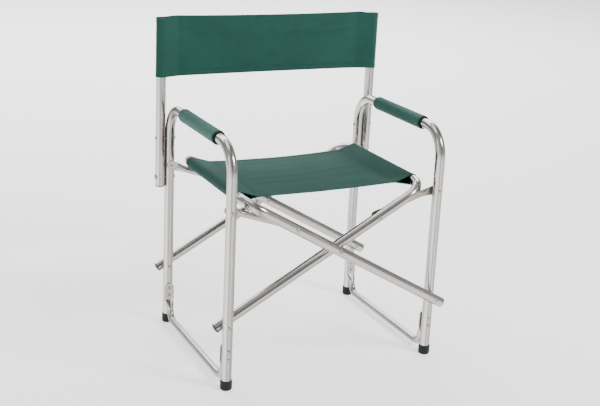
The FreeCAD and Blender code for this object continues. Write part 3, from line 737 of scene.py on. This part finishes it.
def ring_solid(profile, turns, place):
    """Closed ring of rings from a loop of (radius, y); place(angle, radius, y) gives each point.
    Each ring starts underneath, so that the break in the weave is out of sight."""
    verts, faces, spots = [], [], []
    for r, y in profile:
        for k in range(turns):
            angle = 2 * math.pi * k / turns - math.pi / 2
            verts.append(place(angle, r, y))
            spots.append((y, angle * r, 0.0))
    for i in range(len(profile)):
        this = i * turns
        after = (i + 1) % len(profile) * turns
        for k in range(turns):
            beside = (k + 1) % turns
            faces.append((this + k, after + k, after + beside, this + beside))
    return verts, faces, spots


def arm_foam(side):
    """Foam tube with rounded ends and a slightly rough skin."""
    lo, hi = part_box("arm_pad_core_" + side)
    axis = (lo + hi) / 2
    inner = TUBE_R + 0.08 * MM
    profile = wall_profile(inner, (hi.z - lo.z) / 2, lo.y, hi.y, 1.2 * MM, 40, 8)

    def place(angle, r, y):
        if r > inner + 0.3 * MM:
            r += 0.12 * MM * noise.noise(Vector((math.cos(angle) * 3, math.sin(angle) * 3, y * 160)))
        return Vector((axis.x + math.cos(angle) * r, y, axis.z + math.sin(angle) * r))

    verts, faces, _ = ring_solid(profile, FOAM_TURNS, place)
    return mesh_object("pad_foam_" + side, verts, faces, [MAT["foam"]])


def arm_cover(side):
    """Sewn cover over the foam, with a lengthwise seam below and a hem at each end."""
    lo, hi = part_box("arm_pad_cover_" + side)
    axis = (lo + hi) / 2
    core = size("arm_pad_core_" + side).z / 2
    inner = core + 0.08 * MM
    outer = core + 1.15 * MM
    seed = 11.0 if side == "left" else 37.0
    profile = wall_profile(inner, outer, lo.y, hi.y, 0.8 * MM, 120, 6)

    def swell(angle, y):
        """Stuffed cloth: fuller below, drawn in at both ends, with wrinkles round the tube."""
        c, s = math.cos(angle), math.sin(angle)
        from_end = min(y - lo.y, hi.y - y)
        full = 0.20 + 0.38 * max(0.0, -s) + 0.12 * noise.noise(Vector((c * 1.5, s * 1.5, y * 30 + seed)))
        folds = 0.16 * noise.noise(Vector((c * 1.2 + seed, s * 1.2, y * 95)))
        folds += 0.10 * math.sin(angle * 14 + seed) * bell(from_end, 10 * MM)
        hem = 0.24 * (1 - smooth_step((from_end - 6.5 * MM) / (1 * MM)))
        seam = 0.30 * bell(angle - COVER_SEAM, 0.10)
        return (full * smooth_step(from_end / (9 * MM)) + folds + hem + seam) * MM

    def place(angle, r, y):
        if r > inner + 0.5 * MM:
            r += swell(angle, y)
        return Vector((axis.x + math.cos(angle) * r, y, axis.z + math.sin(angle) * r))

    def sew(angle, y, along):
        out = Vector((math.cos(angle), 0, math.sin(angle)))
        stitch(verts, faces, place(angle, outer, y) + out * 0.05 * MM, along, out)

    verts, faces, spots = ring_solid(profile, COVER_TURNS, place)
    cloth_faces = len(faces)
    for k in range(int((hi.y - lo.y) / COVER_PACE)):
        sew(COVER_SEAM + 0.10, lo.y + (k + 0.5) * COVER_PACE, Vector((0, 1, 0)))
    for y in (lo.y + END_STITCH_INSET, hi.y - END_STITCH_INSET):
        for k in range(END_STITCHES):
            angle = 2 * math.pi * k / END_STITCHES
            sew(angle, y, Vector((-math.sin(angle), 0, math.cos(angle))))
    return mesh_object("pad_cover_" + side, verts, faces, [MAT["pad"], MAT["thread"]], cloth_faces, spots)


for side in SIDES:
    foam = arm_foam(side)
    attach(foam, "side_" + side)
    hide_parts("arm_pad_core_" + side)
    cover = arm_cover(side)
    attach(cover, "side_" + side)
    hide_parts("arm_pad_cover_" + side)


# ---------------------------------------------------------------- camera

def photo_camera():
    """The photo's point of view, fitted to the chair's feet, rails and posts."""
    azimuth, elevation, roll = (math.radians(a) for a in (25.65, 17.18, 2.83))
    distance = 2.930
    target = Vector((0.0025, 0.0, 0.3567))
    photo_width = 600
    focal_pixels = 1144.5
    ahead = Vector((math.sin(azimuth) * math.cos(elevation), math.cos(azimuth) * math.cos(elevation),
                    -math.sin(elevation)))
    right = Vector((math.cos(azimuth), -math.sin(azimuth), 0))
    up = right.cross(ahead)
    right_rolled = right * math.cos(roll) + up * math.sin(roll)
    up_rolled = -right * math.sin(roll) + up * math.cos(roll)
    data = bpy.data.cameras.new("camera")
    cam = bpy.data.objects.new("camera", data)
    bpy.context.scene.collection.objects.link(cam)
    turn = Matrix((right_rolled, up_rolled, -ahead)).transposed()
    cam.matrix_world = Matrix.Translation(target - ahead * distance) @ turn.to_4x4()
    data.sensor_width = 36
    data.lens = focal_pixels * data.sensor_width / photo_width
    data.shift_y = 4.76 / photo_width
    data.clip_end = 50
    bpy.context.scene.camera = cam


photo_camera()


# ---------------------------------------------------------------- floor and light

def floor():
    """Plain pale floor, lit a little from within so that it stays near white."""
    grid = bpy.data.meshes.new("floor")
    reach = 26.0
    corners = [(-reach, -reach, 0), (reach, -reach, 0), (reach, reach, 0), (-reach, reach, 0)]
    grid.from_pydata(corners, [], [(0, 1, 2, 3)])
    obj = bpy.data.objects.new("floor", grid)
    bpy.context.scene.collection.objects.link(obj)
    mat, _, _, shader = new_material("floor")
    shader.inputs["Base Color"].default_value = (0.93, 0.93, 0.93, 1)
    shader.inputs["Roughness"].default_value = 0.85
    shader.inputs["Specular IOR Level"].default_value = 0.1
    shader.inputs["Emission Color"].default_value = (1, 1, 1, 1)
    shader.inputs["Emission Strength"].default_value = 0.95
    grid.materials.append(mat)


def lamp(name, place, aim, width, height, power):
    data = bpy.data.lights.new(name, "AREA")
    data.shape = "RECTANGLE"
    data.size = width
    data.size_y = height
    data.energy = power
    obj = bpy.data.objects.new(name, data)
    bpy.context.scene.collection.objects.link(obj)
    obj.location = place
    obj.rotation_mode = "QUATERNION"
    obj.rotation_quaternion = (Vector(aim) - Vector(place)).to_track_quat("-Z", "Y")


def studio_world():
    """Soft room light: palest at the horizon, dimmer overhead, with faint uneven patches."""
    world = bpy.data.worlds.new("studio")
    world.use_nodes = True
    bpy.context.scene.world = world
    nodes = world.node_tree.nodes
    links = world.node_tree.links
    nodes.clear()
    out = nodes.new("ShaderNodeOutputWorld")
    glow = nodes.new("ShaderNodeBackground")
    where = nodes.new("ShaderNodeTexCoord").outputs["Generated"]
    parts = nodes.new("ShaderNodeSeparateXYZ")
    links.new(where, parts.inputs[0])
    band = ramp(nodes, links, spread(nodes, links, parts.outputs["Z"], 0, 1, -1, 1),
                [(0.44, (0.90, 0.90, 0.90)), (0.50, (1.0, 1.0, 1.0)), (0.62, (0.80, 0.80, 0.80)),
                 (0.74, (0.50, 0.50, 0.51)), (0.95, (0.50, 0.50, 0.50))])
    wide = stretch(nodes, links, where, (1, 1, 0.35))
    patches = texture(nodes, links, "ShaderNodeTexNoise", wide, 2.4, Detail=2)
    shade = ramp(nodes, links, patches.outputs["Fac"], [(0.38, (0.80, 0.79, 0.78)), (0.58, (1, 1, 1))])
    links.new(mix_colour(nodes, links, 1.0, band, shade, "MULTIPLY"), glow.inputs["Color"])
    glow.inputs["Strength"].default_value = 0.85
    links.new(glow.outputs[0], out.inputs[0])


floor()
studio_world()
lamp("key", (1.9, -2.5, 2.9), (0, 0, 0.5), 1.0, 1.0, 130)
lamp("rear", (0.9, 4.6, 3.4), (0.9, 4.2, 0), 7.0, 5.0, 520)
lamp("top", (-0.3, 0.2, 3.0), (0, 0, 0), 1.6, 1.6, 12)
lamp("fill", (-2.6, -1.0, 1.5), (0, 0, 0.5), 0.5, 1.8, 9)
